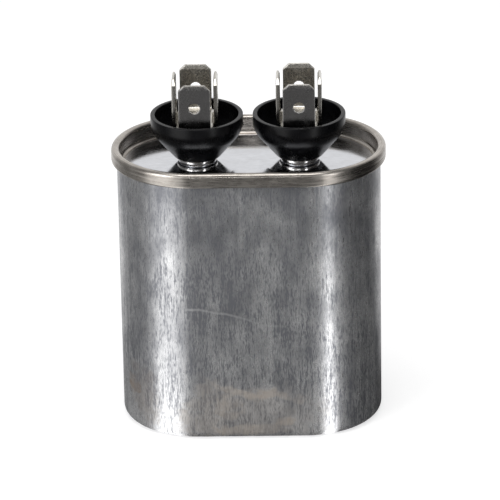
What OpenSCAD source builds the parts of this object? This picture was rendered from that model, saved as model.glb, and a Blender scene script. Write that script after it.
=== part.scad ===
// Oval motor run capacitor: a drawn aluminium can closed by a tinplate cover with a double
// rolled seam, two funnel-shaped insulating cups and two four-blade quick-connect terminals.
// Inside are the metallised-film winding, its end sprays, insulators, leads and the pressure
// interrupter plate. The origin is the centre of the base, +Z up, +X along the long side.

/* [Case] */
// Length over the rolled seam
case_l = 54.9; // [50:0.1:64]
// Width over the rolled seam
case_w = 33.4; // [31:0.1:38]
// Height from the base to the top of the seam
case_h = 58; // [50:0.5:90]
// Wall of the drawn can
can_wall = 0.35; // [0.3:0.05:0.45]
// Floor of the drawn can
can_floor = 0.6; // [0.4:0.1:1]
// Outside radius between the wall and the floor
can_corner_r = 1.7; // [1.2:0.1:2.4]

/* [Rolled seam] */
// Height of the seam
seam_h = 3; // [2.6:0.1:3.6]
// Sheet that the cover is pressed from
cover_t = 0.28; // [0.22:0.02:0.34]
// Play between the folded layers
seam_play = 0.05; // [0.03:0.01:0.08]
// Play past the end of each hook
hook_play = 0.1; // [0.05:0.05:0.3]

/* [Cover] */
// Drop from the top of the seam to the deck
deck_drop = 3.6; // [3:0.1:5]
// Radius at the foot of the wall around the deck
deck_fillet = 0.8; // [0.3:0.1:1]
// Height of the bosses that carry the cups
boss_h = 0.6; // [0.4:0.1:1]
// Overhang of the foot of a cup past the top of its boss
foot_overhang = 0.3; // [0.1:0.05:0.35]
// Plan width of the steep flank of a boss
boss_flank_w = 0.1; // [0.1:0.05:0.3]
// Plan width of the sloping flank of the emboss
emboss_flank_w = 0.25; // [0.2:0.05:0.6]
// Diameter of the blank round emboss in front
emboss_d = 9.1; // [6:0.1:10]
// Height of the emboss
emboss_h = 0.35; // [0.3:0.05:0.6]
// Offset of the emboss to the right of the middle
emboss_x = 0.8; // [-2:0.1:2]
// Offset of the emboss towards the front
emboss_y = 8.5; // [8:0.1:9]

/* [Cups] */
// Distance between the two terminals
terminal_pitch = 20.4; // [19.2:0.1:22]
// Diameter of a cup over its lip
cup_d = 18.5; // [17.5:0.1:19]
// Height of a cup from its foot to its lip
cup_h = 9.5; // [8:0.1:14]
// Diameter of the foot
cup_foot_d = 8; // [7.6:0.1:9]
// Lean of the conical flank from upright
cup_angle = 40; // [34:1:44]
// Radius that blends the cone into the upright wall
cup_round_r = 5; // [3:0.5:6]
// Wall of a cup
cup_wall = 0.9; // [0.8:0.05:1.2]
// Radius of the edges of the flat lip
lip_edge_r = 0.15; // [0.1:0.05:0.3]
// Diameter of the central post
post_d = 8.4; // [7.6:0.1:9]
// Drop from the lip to the top of the post
post_drop = 1.8; // [0.6:0.1:2.4]
// Diameter of the spigot that passes through the cover
spigot_d = 5; // [4.4:0.1:5.4]

/* [Terminals] */
// Width of a blade
tab_w = 6.35; // [4.8:0.05:6.35]
// Thickness of the terminal strip
tab_t = 0.8; // [0.6:0.05:1]
// Height of a blade above the base plate
tab_h = 9.2; // [8:0.1:11]
// Distance between the side blades, middle to middle
side_tab_gap = 8.3; // [8.2:0.1:9]
// Distance between the front and back blades, middle to middle
front_tab_gap = 12; // [10.5:0.1:12.6]
// Inside radius of the bends
bend_r = 0.5; // [0.3:0.05:0.6]
// Corner chamfer of a blade
tab_chamfer = 1.15; // [0.8:0.05:1.8]
// Length of the coined lead-in at the tip
tip_len = 0.9; // [0.5:0.1:1.2]
// Thickness left at the tip
tip_t = 0.4; // [0.3:0.05:0.6]
// Break along the upright edges of a blade
edge_break = 0.12; // [0.05:0.01:0.2]
// Diameter of the detent hole
detent_d = 2.2; // [1.6:0.1:2.4]
// Drop from the tip to the middle of the detent hole
detent_drop = 4.8; // [4:0.1:5.5]
// Corner radius of the base plate
plate_corner_r = 1.2; // [0.6:0.1:2]

/* [Rivets and seals] */
// Diameter of a rivet's shank
rivet_d = 3; // [2.4:0.1:3.2]
// Diameter of a rivet's head
rivet_head_d = 5; // [4:0.1:5.6]
// Height of a rivet's head
rivet_head_h = 0.9; // [0.6:0.1:1.4]
// Diameter of the upset end
rivet_tail_d = 4.6; // [4:0.1:5]
// Height of the upset end
rivet_tail_h = 0.8; // [0.5:0.1:1.2]
// Outside diameter of a sealing gasket
gasket_d = 6.8; // [6.2:0.1:6.9]
// Thickness of a gasket
gasket_t = 1.2; // [0.8:0.1:2]
// Outside diameter of an insulating washer
washer_d = 9.2; // [8:0.1:9.2]
// Thickness of an insulating washer
washer_t = 0.8; // [0.5:0.1:1.2]
// Radial fit of the rivets in their holes
rivet_fit = 0.05; // [0.03:0.01:0.1]
// Radial play of the terminals on their rivets
terminal_play = 0.3; // [0.15:0.05:0.4]
// Radial fit around the spigots
spigot_fit = 0.1; // [0.05:0.05:0.2]

/* [Leads and lugs] */
// Thickness of a lug
lug_t = 0.4; // [0.3:0.1:0.8]
// Diameter of the ring of a lug
lug_ring_d = 5.8; // [5.2:0.1:7]
// Width of the tail of a lug
lug_tail_w = 2.6; // [2.2:0.1:3.2]
// Distance from the rivet to the lead's hole
lug_reach = 5.4; // [5.3:0.1:7]
// Diameter of a lead wire
lead_d = 0.9; // [0.7:0.1:1]
// Bend radius of a lead at its middle line
lead_bend_r = 1; // [0.8:0.1:1.2]
// Radial clearance around a lead
lead_fit = 0.1; // [0.05:0.05:0.2]
// Length of a lead's foot that is soldered to the end spray
lead_foot = 7; // [4:0.5:9]
// Length that a lead stands past its lug
lead_end = 0.5; // [0.3:0.1:0.7]
// Wall of the tube over the long lead
lead_tube_wall = 0.35; // [0.2:0.05:0.4]

/* [Winding and insulation] */
// Clearance between the can and the insulation
liner_gap = 0.25; // [0.15:0.05:0.5]
// Wall of the liner
liner_t = 0.7; // [0.4:0.1:1]
// Space around the winding, where the long lead runs
winding_gap = 2.1; // [2.1:0.1:3]
// Thickness of each end spray
spray_t = 0.6; // [0.4:0.1:1]
// Width of the slit left by the mandrel
slit_w = 1.2; // [0.6:0.1:2]
// Thickness of the floor of an end tray
tray_t = 2; // [1.6:0.1:3]
// Height of an end tray's wall above its floor
tray_wall_h = 3.2; // [2:0.1:6]
// Height of the step that centres the winding
tray_step_h = 1.5; // [0.8:0.1:2]
// Play between the winding and the step
step_play = 0.15; // [0.1:0.05:0.3]

/* [Pressure interrupter] */
// Thickness of the interrupter plate
breaker_t = 0.8; // [0.6:0.1:1.5]
// Height of the skirt that the plate stands on
breaker_skirt_h = 3; // [2.6:0.1:5]
// Thickness of the skirt
breaker_skirt_t = 1; // [0.6:0.1:1.2]
// Space between the plate and the rivets
breaker_gap = 1.2; // [0.8:0.1:3]
// Diameter of the oil holes
oil_hole_d = 3; // [2:0.1:4]

/* [Hidden] */
$fn = 64;
// Overrun of a cut past the face that it opens
cut = 1;
// Segments in a quarter turn of 1 mm radius; larger arcs get more
quarter = 8;

// Plan: a stadium whose ends are full half circles around x = +-straight / 2
straight = case_l - case_w;
half_pitch = terminal_pitch / 2;
rim_r = case_w / 2;

// Layers of the seam, from the outside in
panel_r = rim_r - cover_t;
body_hook_out_r = panel_r - seam_play;
body_hook_in_r = body_hook_out_r - can_wall;
cover_hook_out_r = body_hook_in_r - seam_play;
cover_hook_in_r = cover_hook_out_r - cover_t;
can_r = cover_hook_in_r - seam_play;
can_in_r = can_r - can_wall;
chuck_out_r = can_in_r - seam_play;
chuck_in_r = chuck_out_r - cover_t;

// Middle of the roll at the top of the seam, and of the curl at its lower edge
roll_x = (rim_r + chuck_in_r) / 2;
roll_r = (rim_r - chuck_in_r) / 2;
roll_z = case_h - roll_r;
curl_x = (rim_r + cover_hook_in_r) / 2;
curl_r = (rim_r - cover_hook_in_r) / 2;
curl_z = case_h - seam_h + curl_r;

// Levels of the cover, the cups and the terminals
deck_z = case_h - deck_drop;
foot_z = deck_z + boss_h;
lip_z = foot_z + cup_h;
plate_z = lip_z - post_drop;
plate_top_z = plate_z + tab_t;
tip_z = plate_top_z + tab_h;
boss_r = cup_foot_d / 2 - foot_overhang;

// Levels under the cover
gasket_z = foot_z - cover_t - gasket_t;
washer_z = gasket_z - washer_t;
lug_z = washer_z - lug_t;
tail_z = lug_z - rivet_tail_h;
breaker_z = tail_z - breaker_gap - breaker_t;
top_tray_z = breaker_z - breaker_skirt_h;

// The winding fills what the stack leaves
liner_r = can_in_r - liner_gap;
liner_in_r = liner_r - liner_t;
winding_r = liner_in_r - winding_gap;
tray_chamfer = can_corner_r - can_wall;
tray_h = tray_t + tray_wall_h;
tray_floor_z = can_floor + tray_t;
winding_z = tray_floor_z + spray_t;
winding_h = top_tray_z - tray_t - spray_t - winding_z;

// Route of the long lead up the side of the winding
lead_r = lead_d / 2;
lead_back_r = winding_r + winding_gap / 2;
lead_over = max(0, half_pitch - straight / 2);
lead_back_y = sqrt(lead_back_r ^ 2 - lead_over ^ 2);
lead_tube_r = lead_r + lead_fit + lead_tube_wall;
low_run_z = tray_floor_z - lead_r;
high_run_z = top_tray_z + breaker_skirt_h / 2;
top_foot_z = winding_z + winding_h + spray_t + lead_r;
lead_top_z = lug_z + lug_t + lead_end;

// Points of an arc about c, from angle a0 to a1
function arc(c, r, a0, a1) =
    let (n = max(2, ceil(quarter * sqrt(r) * abs(a1 - a0) / 90)))
    [for (i = [0 : n]) let (a = a0 + (a1 - a0) * i / n) c + r * [cos(a), sin(a)]];

// Turns a profile, given as radius and height, around the stadium plan
module stadium_sweep() {
    for (side = [-1, 1])
        translate([side * straight / 2, 0, 0])
            rotate([0, 0, -90 * side])
                rotate_extrude(angle = 180) children();
    rotate([90, 0, 90])
        linear_extrude(straight, center = true) {
            children();
            mirror([1, 0]) children();
        }
}

// Flat stadium of end radius r
module stadium(r) {
    for (side = [-1, 1])
        translate([side * straight / 2, 0]) circle(r);
    square([straight, 2 * r], center = true);
}

module stadium_ring(r_out, r_in, h) {
    linear_extrude(h)
        difference() {
            stadium(r_out);
            stadium(r_in);
        }
}

// Washer, tube or plate with a round hole
module ring(d_out, d_in, h) {
    difference() {
        cylinder(d = d_out, h = h);
        translate([0, 0, -cut]) cylinder(d = d_in, h = h + 2 * cut);
    }
}

module on_left() {
    translate([-half_pitch, 0, 0]) children();
}

module on_right() {
    translate([half_pitch, 0, 0]) children();
}

// Deep-drawn can. Its wall turns out and down at the top into the body hook.
module can() {
    corner_in_r = can_corner_r - can_wall;
    hook_z = curl_z + hook_play;
    hook_mid = [roll_x, roll_z];
    color("#9b9ca0") stadium_sweep()
        polygon(concat(
            [[0, 0]],
            arc([can_r - can_corner_r, can_corner_r], can_corner_r, -90, 0),
            arc(hook_mid, body_hook_in_r - roll_x, 180, 0),
            [[body_hook_in_r, hook_z], [body_hook_out_r, hook_z]],
            arc(hook_mid, body_hook_out_r - roll_x, 0, 180),
            arc([can_in_r - corner_in_r, can_floor + corner_in_r], corner_in_r, 0, -90),
            [[0, can_floor]]
        ));
}

// Section of the cover: deck, chuck wall, roll, seaming panel and the hook curled up inside
module cover_section() {
    foot = [chuck_in_r - deck_fillet, deck_z + deck_fillet];
    roll = [roll_x, roll_z];
    curl = [curl_x, curl_z];
    hook_top_z = roll_z - hook_play;
    polygon(concat(
        [[0, deck_z]],
        arc(foot, deck_fillet, -90, 0),
        arc(roll, roll_r, 180, 0),
        arc(curl, curl_r, 0, -180),
        [[cover_hook_in_r, hook_top_z], [cover_hook_out_r, hook_top_z]],
        arc(curl, curl_r - cover_t, 180, 360),
        arc(roll, roll_r - cover_t, 0, 180),
        arc(foot, deck_fillet + cover_t, 0, -90),
        [[0, deck_z - cover_t]]
    ));
}

// How far the inside of a pressed flank of height h and plan width w lies within its outside,
// in an even sheet
function flank_inset(h, w) = cover_t * tan(atan2(h, w) / 2);

// Solid under a pressed-up disc of top radius r and height h, with a flank of plan width w that
// runs on down by root
module pressing(r, h, w, root) {
    translate([0, 0, -root])
        cylinder(r1 = r + w * (h + root) / h, r2 = r, h = h + root);
}

// Tinplate cover with the two bosses, their holes and the blank emboss
module cover() {
    emboss_at = [emboss_x, -emboss_y, deck_z];
    emboss_r = emboss_d / 2 - emboss_flank_w;
    boss_in_r = boss_r - flank_inset(boss_h, boss_flank_w);
    emboss_in_r = emboss_r - flank_inset(emboss_h, emboss_flank_w);
    root = cover_t / 2;
    color("#a9a398") difference() {
        union() {
            stadium_sweep() cover_section();
            for (side = [-1, 1])
                translate([side * half_pitch, 0, deck_z])
                    pressing(boss_r, boss_h, boss_flank_w, root);
            translate(emboss_at) pressing(emboss_r, emboss_h, emboss_flank_w, root);
        }
        for (side = [-1, 1])
            translate([side * half_pitch, 0, deck_z - cover_t]) {
                pressing(boss_in_r, boss_h, boss_flank_w, cut);
                cylinder(d = spigot_d + 2 * spigot_fit, h = boss_h + cover_t + cut);
            }
        translate(emboss_at - [0, 0, cover_t])
            pressing(emboss_in_r, emboss_h, emboss_flank_w, cut);
    }
}

// Half section of a cup: foot, cone, blended wall, flat lip, deep gutter and central post
module cup_section() {
    lip_r = cup_d / 2;
    foot_r = cup_foot_d / 2;
    spigot_r = spigot_d / 2;
    post_r = post_d / 2;
    slope = tan(cup_angle);
    // Height where the cone would meet the upright wall, and the length cut off by the blend
    corner_z = foot_z + (lip_r - foot_r) / slope;
    blend = cup_round_r * tan(cup_angle / 2);
    mid = [lip_r - cup_round_r, corner_z + blend];
    edge_z = lip_z - lip_edge_r;
    // Foot of the gutter, where the inside of the cone meets the post
    gutter_z = foot_z + (post_r - foot_r + cup_wall / cos(cup_angle)) / slope;
    spigot_z = gasket_z + spigot_fit;
    polygon(concat(
        [[0, spigot_z], [spigot_r, spigot_z], [spigot_r, foot_z], [foot_r, foot_z]],
        arc(mid, cup_round_r, -cup_angle, 0),
        arc([lip_r - lip_edge_r, edge_z], lip_edge_r, 0, 90),
        arc([lip_r - cup_wall + lip_edge_r, edge_z], lip_edge_r, 90, 180),
        arc(mid, cup_round_r - cup_wall, 0, -cup_angle),
        [[post_r, gutter_z], [post_r, plate_z], [0, plate_z]]
    ));
}

// Moulded insulating cup on its boss
module cup() {
    color("#17181b") difference() {
        rotate_extrude() cup_section();
        translate([0, 0, gasket_z])
            cylinder(d = rivet_d + 2 * rivet_fit, h = plate_z - gasket_z + cut);
    }
}

module left_cup() {
    on_left() cup();
}

module right_cup() {
    on_right() cup();
}

// One arm of the stamping: along the base plate, round the bend and up into a blade.
// It runs out along +X, and reach is the distance to the middle of its blade.
module tab_arm(reach) {
    in_x = reach - tab_t / 2;
    out_x = reach + tab_t / 2;
    bend = [in_x - bend_r, plate_top_z + bend_r];
    tip_inset = (tab_t - tip_t) / 2;
    half_w = tab_w / 2;
    difference() {
        intersection() {
            // Side view, with the bend and the coined tip
            rotate([90, 0, 0])
                linear_extrude(tab_w + 2 * cut, center = true)
                    polygon(concat(
                        [[0, plate_z]],
                        arc(bend, bend_r + tab_t, -90, 0),
                        [
                            [out_x, tip_z - tip_len], [out_x - tip_inset, tip_z],
                            [in_x + tip_inset, tip_z], [in_x, tip_z - tip_len]
                        ],
                        arc(bend, bend_r, 0, -90),
                        [[0, plate_top_z]]
                    ));
            // Face view, with the corner chamfers
            rotate([90, 0, 90])
                linear_extrude(out_x + cut)
                    polygon([
                        [-half_w, plate_z - cut], [half_w, plate_z - cut],
                        [half_w, tip_z - tab_chamfer], [half_w - tab_chamfer, tip_z + tip_inset],
                        [tab_chamfer - half_w, tip_z + tip_inset], [-half_w, tip_z - tab_chamfer]
                    ]);
        }
        translate([in_x - cut, 0, tip_z - detent_drop])
            rotate([0, 90, 0]) cylinder(d = detent_d, h = tab_t + 2 * cut);
        // Broken edges
        for (x = [in_x, out_x], y = [-half_w, half_w])
            translate([x, y, tip_z])
                rotate([0, 0, 45])
                    cube([edge_break * sqrt(2), edge_break * sqrt(2), 2 * (tab_h - bend_r)],
                        center = true);
    }
}

// Four blades bent up from one rounded base plate
module terminal() {
    plate_x = side_tab_gap / 2 - tab_t / 2 - bend_r;
    plate_y = front_tab_gap / 2 - tab_t / 2 - bend_r;
    corner_x = side_tab_gap / 2 - plate_corner_r;
    corner_y = plate_y + bend_r - plate_corner_r;
    color("#8d8a82") difference() {
        union() {
            for (turn = [0, 180]) {
                rotate([0, 0, turn]) tab_arm(side_tab_gap / 2);
                rotate([0, 0, turn + 90]) tab_arm(front_tab_gap / 2);
            }
            translate([0, 0, plate_z]) linear_extrude(tab_t) {
                square([2 * corner_x, 2 * (corner_y + plate_corner_r)], center = true);
                square([2 * plate_x, 2 * plate_y], center = true);
                square([2 * (corner_x + plate_corner_r - bend_r), 2 * corner_y], center = true);
                for (x = [-corner_x, corner_x], y = [-corner_y, corner_y])
                    translate([x, y]) circle(plate_corner_r - bend_r);
            }
        }
        translate([0, 0, plate_z - cut])
            cylinder(d = rivet_d + 2 * terminal_play, h = tab_t + 2 * cut);
    }
}

// The left terminal is riveted down pushed outwards, as far as its play lets it
module left_terminal() {
    on_left() translate([rivet_fit - terminal_play, 0, 0]) terminal();
}

module right_terminal() {
    on_right() terminal();
}

// Rivet that clamps terminal, cup, cover, gasket, washer and lug, with a domed head
module rivet() {
    head_r = rivet_head_d / 2;
    tail_r = rivet_tail_d / 2;
    shank_r = rivet_d / 2;
    tail_top_z = tail_z + rivet_tail_h;
    // Radius of the dome through the edge and the crown of the head
    dome_r = (head_r ^ 2 + rivet_head_h ^ 2) / (2 * rivet_head_h);
    color("#b7b4ab") rotate_extrude()
        polygon(concat(
            [
                [0, tail_z], [tail_r, tail_z], [tail_r, tail_top_z],
                [shank_r, tail_top_z], [shank_r, plate_top_z]
            ],
            arc([0, plate_top_z + rivet_head_h - dome_r], dome_r, 90 - asin(head_r / dome_r), 90)
        ));
}

module left_rivet() {
    on_left() rivet();
}

module right_rivet() {
    on_right() rivet();
}

// Rubber seal around the spigot, pressed against the underside of the boss
module gasket() {
    color("#26231f") translate([0, 0, gasket_z])
        ring(gasket_d, spigot_d + spigot_fit, gasket_t);
}

module left_gasket() {
    on_left() gasket();
}

module right_gasket() {
    on_right() gasket();
}

// Insulating washer between the gasket and the lug
module inner_washer() {
    color("#d8cfb4") translate([0, 0, washer_z])
        ring(washer_d, rivet_d + 2 * rivet_fit, washer_t);
}

module left_inner_washer() {
    on_left() inner_washer();
}

module right_inner_washer() {
    on_right() inner_washer();
}

// Tinned lug: a ring on the rivet and a tail to the back with the hole for the lead
module lug() {
    color("#c9c2a8") translate([0, 0, lug_z])
        linear_extrude(lug_t)
            difference() {
                union() {
                    circle(d = lug_ring_d);
                    translate([-lug_tail_w / 2, 0]) square([lug_tail_w, lug_reach]);
                    translate([0, lug_reach]) circle(d = lug_tail_w);
                }
                circle(d = rivet_d + 2 * rivet_fit);
                translate([0, lug_reach]) circle(d = lead_d + 2 * lead_fit);
            }
}

module left_lug() {
    on_left() lug();
}

module right_lug() {
    on_right() lug();
}

// Straight piece of lead: upright from z0 to z1 at y, or level from y0 to y1 at z
module lead_up(y, z0, z1) {
    translate([0, y, z0]) cylinder(r = lead_r, h = z1 - z0);
}

module lead_level(z, y0, y1) {
    translate([0, y1, z]) rotate([90, 0, 0]) cylinder(r = lead_r, h = y1 - y0);
}

// Quarter bend in the YZ plane about the point y, z, from the given angle
module lead_bend(y, z, from) {
    translate([0, y, z]) rotate([90, 0, 90]) rotate([0, 0, from])
        rotate_extrude(angle = 90) translate([lead_bend_r, 0]) circle(lead_r);
}

// Solder around the lead under its lug
module lead_solder() {
    translate([0, lug_reach, lug_z - lead_r])
        cylinder(r1 = lead_r, r2 = lug_tail_w / 2 - lead_fit, h = lead_r);
}

// Short lead, from the top end spray straight up to the left lug
module left_lead() {
    color("#b5764a") on_left() {
        lead_level(top_foot_z, lug_reach - lead_foot, lug_reach - lead_bend_r);
        lead_bend(lug_reach - lead_bend_r, top_foot_z + lead_bend_r, 270);
        lead_up(lug_reach, top_foot_z + lead_bend_r, lead_top_z);
        lead_solder();
    }
}

// Long lead, from the bottom end spray up the back of the winding to the right lug
module right_lead() {
    color("#b5764a") on_right() {
        lead_level(low_run_z, lead_back_y - lead_foot, lead_back_y - lead_bend_r);
        lead_bend(lead_back_y - lead_bend_r, low_run_z + lead_bend_r, 270);
        lead_up(lead_back_y, low_run_z + lead_bend_r, high_run_z - lead_bend_r);
        lead_bend(lead_back_y - lead_bend_r, high_run_z - lead_bend_r, 0);
        lead_level(high_run_z, lug_reach + lead_bend_r, lead_back_y - lead_bend_r);
        lead_bend(lug_reach + lead_bend_r, high_run_z + lead_bend_r, 180);
        lead_up(lug_reach, high_run_z + lead_bend_r, lead_top_z);
        lead_solder();
    }
}

// Insulating tube over the long lead, between the two end trays
module lead_sleeve() {
    color("#e6e2d4") translate([half_pitch, lead_back_y, winding_z])
        ring(2 * lead_tube_r, lead_d + 2 * lead_fit, winding_h);
}

// Pressure interrupter: a plate on a skirt. The leads are anchored in it, and snap when
// pressure lifts the cover away from it.
module break_plate() {
    skirt_r = liner_r - tray_chamfer;
    lead_hole_d = lead_d + 2 * lead_fit;
    color("#c8a86a") difference() {
        union() {
            translate([0, 0, breaker_z]) linear_extrude(breaker_t) stadium(skirt_r);
            translate([0, 0, top_tray_z])
                stadium_ring(skirt_r, skirt_r - breaker_skirt_t, breaker_skirt_h);
        }
        for (side = [-1, 1]) {
            translate([side * half_pitch, lug_reach, breaker_z - cut])
                cylinder(d = lead_hole_d, h = breaker_t + 2 * cut);
            translate([side * half_pitch, -lug_reach, breaker_z - cut])
                cylinder(d = oil_hole_d, h = breaker_t + 2 * cut);
        }
        // Notch in the skirt, over the hole where the long lead comes up
        translate([half_pitch - lead_d, skirt_r - 2 * breaker_skirt_t, top_tray_z - cut])
            cube([2 * lead_d, 3 * breaker_skirt_t, breaker_skirt_h + cut]);
    }
}

// Moulded end tray, open upwards: it centres the winding and carries the liner
module tray() {
    step_r = winding_r + step_play;
    step_z = tray_t + tray_step_h;
    stadium_sweep()
        polygon([
            [0, 0], [liner_r - tray_chamfer, 0], [liner_r, tray_chamfer], [liner_r, tray_h],
            [liner_in_r, tray_h], [liner_in_r, step_z], [step_r, step_z], [step_r, tray_t],
            [0, tray_t]
        ]);
}

// Lower tray, with the groove for the foot of the long lead and the way up beside the winding
module bottom_insulator() {
    groove_w = lead_d + 2 * lead_fit;
    color("#ded9cc") difference() {
        translate([0, 0, can_floor]) tray();
        translate([half_pitch - groove_w / 2, lead_back_y - lead_foot - lead_fit, tray_floor_z - groove_w])
            cube([groove_w, lead_foot + lead_fit, groove_w + cut]);
        translate([half_pitch, lead_back_y, tray_floor_z - groove_w])
            cylinder(r = lead_tube_r + lead_fit, h = groove_w + tray_step_h + cut);
    }
}

// Upper tray, upside down, with the groove for the short lead and both ways through
module top_insulator() {
    groove_w = lead_d + 2 * lead_fit;
    under_z = top_tray_z - tray_t;
    color("#ded9cc") difference() {
        translate([0, 0, top_tray_z]) mirror([0, 0, 1]) tray();
        translate([-half_pitch - groove_w / 2, lug_reach - lead_foot - lead_fit, under_z - cut])
            cube([groove_w, lead_foot + lead_fit, groove_w + cut]);
        // Wide enough for the inside of the lead's bend
        translate([-half_pitch, lug_reach, under_z - cut])
            cylinder(d = groove_w + 2 * lead_fit, h = tray_t + 2 * cut);
        translate([half_pitch, lead_back_y, under_z - tray_step_h - cut])
            cylinder(r = lead_tube_r + lead_fit, h = tray_t + tray_step_h + 2 * cut);
    }
}

// Liner between the can and the winding, standing on the lower tray
module insulating_sleeve() {
    liner_z = can_floor + tray_h;
    color("#cfc4a2") translate([0, 0, liner_z])
        stadium_ring(liner_r, liner_in_r, top_tray_z - tray_h - liner_z);
}

// Metallised film, wound and pressed flat around its mandrel slit
module winding() {
    color("#b9b6ad") translate([0, 0, winding_z])
        linear_extrude(winding_h)
            difference() {
                stadium(winding_r);
                square([straight, slit_w], center = true);
            }
}

// Sprayed zinc layer that joins all turns at one end of the winding
module end_spray() {
    linear_extrude(spray_t) stadium(winding_r);
}

module top_end_spray() {
    color("#8f9193") translate([0, 0, winding_z + winding_h]) end_spray();
}

module bottom_end_spray() {
    color("#8f9193") translate([0, 0, tray_floor_z]) end_spray();
}

can();
cover();
left_cup();
right_cup();
left_terminal();
right_terminal();
left_rivet();
right_rivet();
left_gasket();
right_gasket();
left_inner_washer();
right_inner_washer();
left_lug();
right_lug();
left_lead();
right_lead();
lead_sleeve();
break_plate();
top_insulator();
bottom_insulator();
insulating_sleeve();
winding();
top_end_spray();
bottom_end_spray();
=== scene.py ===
import math

import bmesh
import bpy
import numpy as np
from mathutils import Matrix, Vector


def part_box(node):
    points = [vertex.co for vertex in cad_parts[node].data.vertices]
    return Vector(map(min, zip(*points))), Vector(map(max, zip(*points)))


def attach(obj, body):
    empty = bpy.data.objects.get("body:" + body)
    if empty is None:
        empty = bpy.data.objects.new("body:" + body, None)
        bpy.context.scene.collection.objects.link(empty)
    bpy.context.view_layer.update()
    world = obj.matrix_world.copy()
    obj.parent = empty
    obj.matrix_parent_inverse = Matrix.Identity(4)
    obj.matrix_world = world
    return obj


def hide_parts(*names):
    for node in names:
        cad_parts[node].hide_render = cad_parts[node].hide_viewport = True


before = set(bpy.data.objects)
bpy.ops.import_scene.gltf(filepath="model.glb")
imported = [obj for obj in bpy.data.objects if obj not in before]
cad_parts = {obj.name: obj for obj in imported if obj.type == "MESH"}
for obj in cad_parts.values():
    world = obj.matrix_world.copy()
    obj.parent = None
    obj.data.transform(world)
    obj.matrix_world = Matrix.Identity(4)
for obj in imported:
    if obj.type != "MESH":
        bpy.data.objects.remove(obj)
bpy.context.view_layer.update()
mm = 0.001
print("frame loaded:", len(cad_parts), "nodes")

# Places read from the frame
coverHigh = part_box("cover")[1]
rightCupLow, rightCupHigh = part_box("right_cup")
rimR = coverHigh.y                      # end radius over the seam
halfStraight = (coverHigh.x - rimR) / mm  # half of the straight sides, in millimetres
seamTop = coverHigh.z
cupX = (rightCupLow.x + rightCupHigh.x) / 2
lipZ = rightCupHigh.z / mm              # this and the lengths below are in millimetres


# Mesh helpers
def gridQuads(rows, cols, closed=True):
    # quad (i, j) joins point (i, j) to its neighbours one row down and one column on
    i, j = np.meshgrid(np.arange(rows - 1), np.arange(cols if closed else cols - 1), indexing="ij")
    k = (j + 1) % cols
    quads = np.stack([i * cols + j, i * cols + k, (i + 1) * cols + k, (i + 1) * cols + j], -1)
    return quads.reshape(-1, 4)


def makePiece(name, points, quads, uv=None, sharp=35, slots=None):
    # points (n, 3), quads (m, 4); doubles are merged and the shell's faces turned outwards
    mesh = bpy.data.meshes.new(name)
    mesh.from_pydata(points.tolist(), [], quads.tolist())
    if uv is not None:
        layer = mesh.uv_layers.new(name="surface")
        layer.data.foreach_set("uv", np.asarray(uv, np.float32)[quads].reshape(-1))
    if slots is not None:
        mesh.polygons.foreach_set("material_index", np.asarray(slots, np.int32))
    work = bmesh.new()
    work.from_mesh(mesh)
    bmesh.ops.remove_doubles(work, verts=work.verts, dist=2e-7)
    bmesh.ops.dissolve_degenerate(work, edges=work.edges, dist=1e-8)
    bmesh.ops.recalc_face_normals(work, faces=work.faces)
    work.to_mesh(mesh)
    work.free()
    mesh.shade_smooth()
    mesh.set_sharp_from_angle(angle=math.radians(sharp))
    piece = bpy.data.objects.new(name, mesh)
    bpy.context.scene.collection.objects.link(piece)
    return piece


def arcPoints(cx, cz, r, a0, a1, n):
    # n + 1 points (cx + r cos a, cz + r sin a), a from a0 to a1 degrees
    a = np.radians(np.linspace(a0, a1, n + 1))
    return np.stack([cx + r * np.cos(a), cz + r * np.sin(a)], -1)


def stadiumFrame(u):
    # u in [0, 4): front side, right end, back side, left end. Gives the point on the middle
    # segment and the outward direction, so a point at end radius r is middle + r * outward.
    part, f = np.floor(u), u - np.floor(u)
    mx = np.select([part == 0, part == 1, part == 2], [(2 * f - 1), 1 + 0 * f, (1 - 2 * f)], -1) * halfStraight
    a = np.radians(np.select([part == 0, part == 1, part == 2], [-90 + 0 * f, -90 + 180 * f, 90 + 0 * f],
                             90 + 180 * f))
    return np.stack([mx, 0 * mx], -1), np.stack([np.cos(a), np.sin(a)], -1)


def stadiumParameter(points):
    # The inverse of stadiumFrame for points off the middle segment
    x, y = points[:, 0], points[:, 1]
    end = np.degrees(np.arctan2(y, np.abs(x) - halfStraight))
    front, back = (x / halfStraight + 1) / 2, 2 + (1 - x / halfStraight) / 2
    right, left = 1 + (end + 90) / 180, 3 + (90 - end) / 180
    side = np.abs(x) <= halfStraight
    return np.where(side, np.where(y < 0, front, back), np.where(x > 0, right, left)) % 4


def stadiumSweep(profile, u):
    # A profile of (end radius, height) carried round the stadium: middle(u) + radius * outward(u)
    middle, outward = stadiumFrame(u)
    xy = middle[None] + profile[:, 0][:, None, None] * outward[None]
    z = np.broadcast_to(profile[:, 1][:, None, None], (len(profile), len(u), 1))
    return np.concatenate([xy, z], -1)


def revolve(profile, centreX, count):
    # A profile of (radius, height) turned about the upright line at x = centreX
    a = np.linspace(0, 2 * np.pi, count, endpoint=False)
    r, z = profile[:, 0][:, None], profile[:, 1][:, None]
    return np.stack([centreX + r * np.cos(a), r * np.sin(a), z + 0 * a], -1)


def smooth(low, high, x):
    # 0 below low, 1 above high, and 3 t^2 - 2 t^3 between them
    t = np.clip((x - low) / (high - low), 0, 1)
    return t * t * (3 - 2 * t)


def pathLength(profile):
    return np.concatenate([[0], np.cumsum(np.linalg.norm(np.diff(profile, axis=0), axis=1))])


# Camera
camera = {"distance": 0.790, "elevation": 23.2, "azimuth": -1.04, "roll": 1.03,
          "target": (-0.00005, 0, 0.0348), "lens": 281.6, "sensor": 36}


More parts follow.
